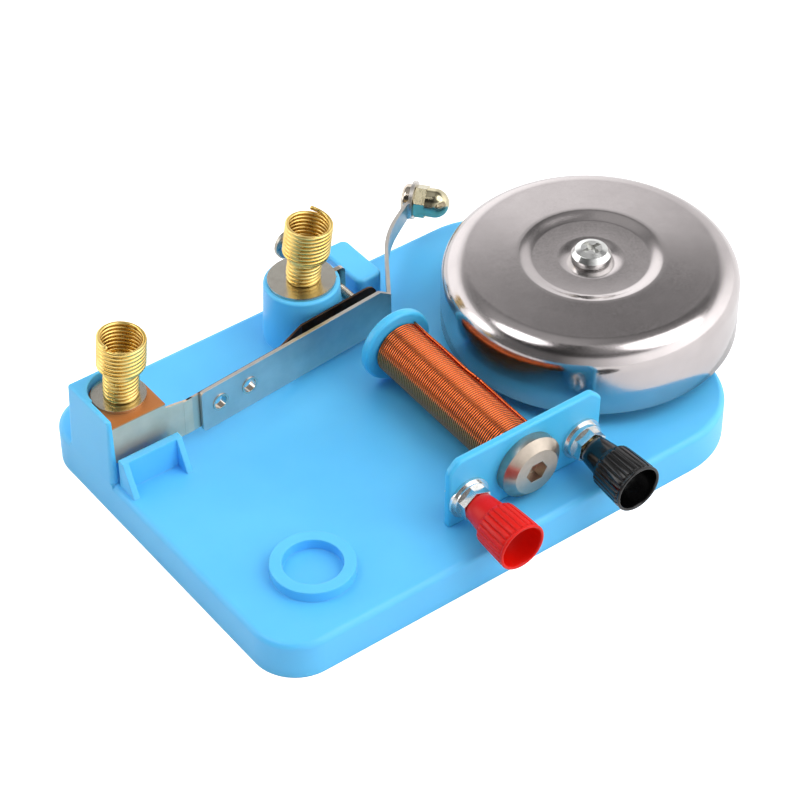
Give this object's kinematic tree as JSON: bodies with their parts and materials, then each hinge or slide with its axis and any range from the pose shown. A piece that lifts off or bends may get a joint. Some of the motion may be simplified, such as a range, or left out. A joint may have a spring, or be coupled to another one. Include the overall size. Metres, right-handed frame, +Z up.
{
  "type": "electric bell demonstrator",
  "caption": "Electric bell demonstrator: a moulded base with a coil, a sprung armature with a hammer, a gong, spring terminals and two binding posts.",
  "frame": {"origin": "middle of the base's rest face", "axes": "+Z up from the rest face, +X from the terminals' end to the gong, +Y to the armature's side, away from the binding posts"},
  "size_m": [0.1549, 0.1152, 0.0438],
  "materials": {
    "blue_plastic": "satin",
    "red_plastic": "glossy",
    "black_plastic": "glossy",
    "spring_brass": "bright",
    "strip_bronze": "satin",
    "leaf_bronze": "aged",
    "armature_steel": "satin",
    "gong_plating": "bright",
    "enamelled_copper": "glossy",
    "post_brass": "turned",
    "nickel_plating": "bright"
  },
  "bodies": {
    "base": {"base_moulding": "blue_plastic", "terminal_1_washer": "nickel_plating", "terminal_1_screw": "nickel_plating", "terminal_1_nut": "nickel_plating", "terminal_1_spring_foot": "spring_brass", "terminal_2_washer": "nickel_plating", "terminal_2_screw": "nickel_plating", "terminal_2_nut": "nickel_plating", "terminal_2_spring_foot": "spring_brass", "contact_strip_mount": "strip_bronze", "contact_bracket": "nickel_plating", "coil_former": "blue_plastic", "coil_winding": "enamelled_copper", "coil_lead": "enamelled_copper", "core_bolt": "nickel_plating", "red_post_stud": "nickel_plating", "red_post_washer": "nickel_plating", "red_lock_washer": "nickel_plating", "red_post_nut": "nickel_plating", "red_solder_tag": "nickel_plating", "red_back_nut": "nickel_plating", "black_post_stud": "nickel_plating", "black_post_washer": "nickel_plating", "black_lock_washer": "nickel_plating", "black_post_nut": "nickel_plating", "black_solder_tag": "nickel_plating", "black_back_nut": "nickel_plating", "gong_shell": "gong_plating", "gong_screw": "nickel_plating", "gong_nut": "nickel_plating"},
    "armature": {"contact_leaf": "leaf_bronze", "armature_plate": "armature_steel", "armature_eyelets": "nickel_plating", "hammer_bolt": "nickel_plating", "hammer_cap_nut": "nickel_plating"},
    "screw_shaft": {"contact_screw_shaft": "nickel_plating"},
    "screw_head": {"contact_screw_head": "nickel_plating"},
    "red_bush": {"red_knob_bush": "post_brass"},
    "red_cap": {"red_knob_cap": "red_plastic"},
    "black_bush": {"black_knob_bush": "post_brass"},
    "black_cap": {"black_knob_cap": "black_plastic"},
    "spring_1": {"terminal_1_spring_top": "spring_brass"},
    "spring_2": {"terminal_2_spring_top": "spring_brass"}
  },
  "joints": [
    {"name": "armature_swing", "type": "hinge", "parent": "base", "child": "armature", "pos_m": [-0.046, 0.01915, 0.0184], "axis": [0, 0, -1], "range_deg": [0, 7.5], "stiffness_Nm_per_rad": 0.05},
    {"name": "contact_screw_advance", "type": "slide", "parent": "base", "child": "screw_shaft", "axis": [0, 1, 0], "range_m": [0, 0.001]},
    {"name": "contact_screw_turn", "type": "hinge", "parent": "screw_shaft", "child": "screw_head", "pos_m": [0.0073, 0.055, 0.0193], "axis": [0, 1, 0], "range_deg": [0, 720.01]},
    {"name": "red_knob_advance", "type": "slide", "parent": "base", "child": "red_bush", "axis": [0, -0.9996, -0.0279], "range_m": [0, 0.0021]},
    {"name": "red_knob_turn", "type": "hinge", "parent": "red_bush", "child": "red_cap", "pos_m": [-0.0103, -0.04194, 0.01649], "axis": [0, -0.9996, -0.0279], "range_deg": [0, 1080.01]},
    {"name": "black_knob_advance", "type": "slide", "parent": "base", "child": "black_bush", "axis": [0, -0.9996, -0.0279], "range_m": [0, 0.0021]},
    {"name": "black_knob_turn", "type": "hinge", "parent": "black_bush", "child": "black_cap", "pos_m": [0.02145, -0.04304, 0.01646], "axis": [0, -0.9996, -0.0279], "range_deg": [0, 1080.01]},
    {"name": "spring_1_tilt", "type": "hinge", "parent": "base", "child": "spring_1", "pos_m": [-0.05749, 0.02661, 0.03338], "axis": [1, 0, 0], "range_deg": [-11.5, 11.5], "stiffness_Nm_per_rad": 0.02},
    {"name": "spring_2_tilt", "type": "hinge", "parent": "base", "child": "spring_2", "pos_m": [-0.00133, 0.0353, 0.03225], "axis": [1, 0, 0], "range_deg": [-11.5, 11.5], "stiffness_Nm_per_rad": 0.02}
  ],
  "couplings": [
    {"joint": "contact_screw_turn", "follows": "contact_screw_advance", "rad_per_m": 12566},
    {"joint": "red_knob_turn", "follows": "red_knob_advance", "rad_per_m": 8976},
    {"joint": "black_knob_turn", "follows": "black_knob_advance", "rad_per_m": 8976}
  ]
}
